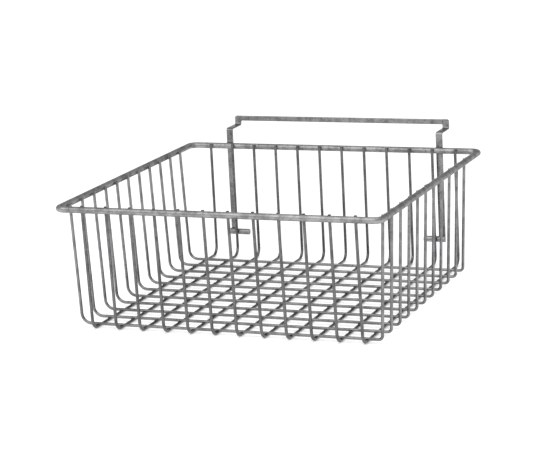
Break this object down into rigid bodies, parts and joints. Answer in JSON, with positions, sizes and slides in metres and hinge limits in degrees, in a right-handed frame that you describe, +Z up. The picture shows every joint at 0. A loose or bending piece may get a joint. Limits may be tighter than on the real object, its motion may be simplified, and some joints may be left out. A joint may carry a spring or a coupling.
{
  "type": "hanging wire display basket",
  "caption": "Open-top welded wire shop basket with a thick rod rim, a crossed wire floor and a folded strip hanger with a crossbar at the back.",
  "frame": {"origin": "centre of the overall footprint, level with the underside of the lowest wires", "axes": "+Z up out of the open top, +Y towards the wall the basket hangs on, X across its width"},
  "size_m": [0.6116, 0.6614, 0.2755],
  "materials": {
    "rim_rod": "bright plated steel rod",
    "basket_wire": "bright plated steel wire",
    "hanger_strip": "bright plated flat steel"
  },
  "bodies": {
    "root": {"rim": "rim_rod", "long_wire_01": "basket_wire", "long_wire_02": "basket_wire", "long_wire_03": "basket_wire", "long_wire_04": "basket_wire", "long_wire_05": "basket_wire", "long_wire_06": "basket_wire", "long_wire_07": "basket_wire", "long_wire_08": "basket_wire", "long_wire_09": "basket_wire", "long_wire_10": "basket_wire", "long_wire_11": "basket_wire", "long_wire_12": "basket_wire", "cross_wire_01": "basket_wire", "cross_wire_02": "basket_wire", "cross_wire_03": "basket_wire", "cross_wire_04": "basket_wire", "cross_wire_05": "basket_wire", "cross_wire_06": "basket_wire", "cross_wire_07": "basket_wire", "cross_wire_08": "basket_wire", "cross_wire_09": "basket_wire", "cross_wire_10": "basket_wire", "cross_wire_11": "basket_wire", "left_upright": "hanger_strip", "right_upright": "hanger_strip", "left_spacer": "rim_rod", "right_spacer": "rim_rod", "hanger_crossbar": "hanger_strip"}
  },
  "joints": []
}
